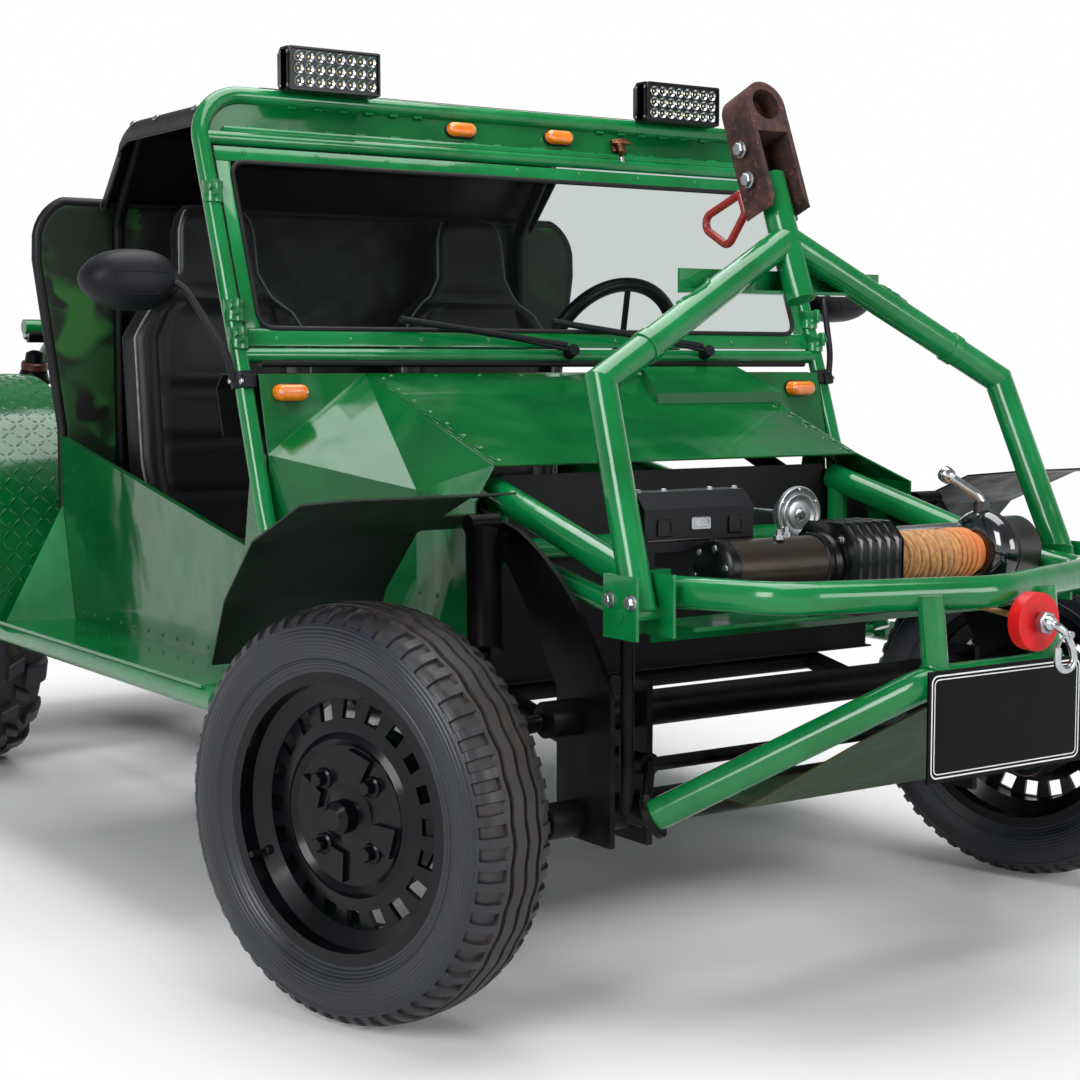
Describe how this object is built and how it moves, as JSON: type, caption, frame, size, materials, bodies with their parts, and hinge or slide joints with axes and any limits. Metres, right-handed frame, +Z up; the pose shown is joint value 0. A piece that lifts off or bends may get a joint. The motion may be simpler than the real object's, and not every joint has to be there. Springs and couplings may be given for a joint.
{
  "type": "dune buggy",
  "caption": "Open two-seat dune buggy with tubular frame, folded sheet body, soft top, rear engine, steered front wheels, front winch and a folded tow frame.",
  "frame": {"origin": "on the ground, under the middle of the vehicle's length and width", "axes": "+X forward, +Y to the vehicle's left, +Z up"},
  "size_m": [3.3449, 1.7, 1.45],
  "materials": {
    "amber_lens": "clear moulded",
    "black_enamel": "satin",
    "black_plastic": "moulded",
    "black_plate": "gloss",
    "black_vinyl": "grained",
    "black_wheel_enamel": "satin",
    "cast_aluminium": "as cast",
    "dark_green_enamel": "semi-gloss",
    "exhaust_steel": "heat-stained",
    "green_enamel": "gloss",
    "orange_rope": "braided",
    "printed_fabric": "woven",
    "red_enamel": "gloss",
    "red_plastic": "moulded",
    "rusty_cast_iron": "rough cast, worn",
    "screen_glass": "polished",
    "seat_vinyl": "grained",
    "tyre_rubber": "matt",
    "zinc_steel": "zinc plated"
  },
  "bodies": {
    "chassis": {"body_sides": "green_enamel", "bull_bar": "green_enamel", "cowl": "green_enamel", "dashboard": "black_plastic", "engine": "cast_aluminium", "exhaust": "exhaust_steel", "firewall": "black_enamel", "floor_pan": "black_enamel", "front_axle_beam": "black_enamel", "front_dampers": "black_enamel", "front_fenders": "dark_green_enamel", "front_frame": "green_enamel", "front_rails": "black_enamel", "front_trailing_arms": "black_enamel", "hood": "green_enamel", "horn": "zinc_steel", "light_bars": "black_enamel", "marker_lamps": "amber_lens", "mirrors": "black_plastic", "nose_sides": "green_enamel", "number_plate": "black_plate", "rear_axle": "cast_aluminium", "rear_bulkhead": "printed_fabric", "rear_fenders": "green_enamel", "rear_frame": "green_enamel", "rear_springs": "black_enamel", "roof_bows": "black_enamel", "roof_header": "green_enamel", "rope_stopper": "red_plastic", "seats": "seat_vinyl", "sill_frame": "green_enamel", "skid_plate": "dark_green_enamel", "soft_top": "black_vinyl", "steering_column": "black_plastic", "winch": "black_enamel", "winch_control_box": "black_plastic", "winch_hook": "zinc_steel", "winch_rope": "orange_rope", "winch_tray": "dark_green_enamel", "windscreen_frame": "green_enamel", "windscreen_glass": "screen_glass", "wipers": "black_plastic"},
    "steering_wheel": {"steering_wheel": "black_plastic"},
    "knuckle_right": {"knuckle_right": "black_enamel"},
    "knuckle_left": {"knuckle_left": "black_enamel"},
    "wheel_front_right": {"tyre_front_right": "tyre_rubber", "wheel_front_right": "black_wheel_enamel"},
    "wheel_front_left": {"tyre_front_left": "tyre_rubber", "wheel_front_left": "black_wheel_enamel"},
    "wheel_rear_right": {"tyre_rear_right": "tyre_rubber", "wheel_rear_right": "black_wheel_enamel"},
    "wheel_rear_left": {"tyre_rear_left": "tyre_rubber", "wheel_rear_left": "black_wheel_enamel"},
    "tow_frame": {"tow_frame": "green_enamel", "tow_coupling": "rusty_cast_iron", "tow_handle": "red_enamel"}
  },
  "joints": [
    {"name": "steering_turn", "type": "hinge", "parent": "chassis", "child": "steering_wheel", "pos_m": [0.2775, 0.307, 0.93], "axis": [-0.9272, 0, 0.3746], "range_deg": [-686, 210]},
    {"name": "knuckle_right_turn", "type": "hinge", "parent": "chassis", "child": "knuckle_right", "pos_m": [1.0475, -0.63, 0.294], "axis": [0, 0, 1], "range_deg": [-49, 15]},
    {"name": "knuckle_left_turn", "type": "hinge", "parent": "chassis", "child": "knuckle_left", "pos_m": [1.0475, 0.63, 0.294], "axis": [0, 0, 1], "range_deg": [-49, 15]},
    {"name": "wheel_front_right_spin", "type": "hinge", "parent": "knuckle_right", "child": "wheel_front_right", "pos_m": [1.06797, -0.69694, 0.294], "axis": [-0.2924, 0.9563, 0], "continuous": true},
    {"name": "wheel_front_left_spin", "type": "hinge", "parent": "knuckle_left", "child": "wheel_front_left", "pos_m": [1.02703, 0.69694, 0.294], "axis": [-0.2924, 0.9563, 0], "continuous": true},
    {"name": "wheel_rear_right_spin", "type": "hinge", "parent": "chassis", "child": "wheel_rear_right", "pos_m": [-1.0725, -0.58, 0.35], "axis": [0, 1, 0], "continuous": true},
    {"name": "wheel_rear_left_spin", "type": "hinge", "parent": "chassis", "child": "wheel_rear_left", "pos_m": [-1.0725, 0.58, 0.35], "axis": [0, 1, 0], "continuous": true},
    {"name": "tow_frame_fold", "type": "hinge", "parent": "chassis", "child": "tow_frame", "pos_m": [1.3425, 0, 0.58], "axis": [0, 1, 0], "range_deg": [0, 115]}
  ],
  "couplings": [
    {"joint": "knuckle_right_turn", "follows": "steering_turn", "ratio": 0.071429},
    {"joint": "knuckle_left_turn", "follows": "steering_turn", "ratio": 0.071429}
  ]
}
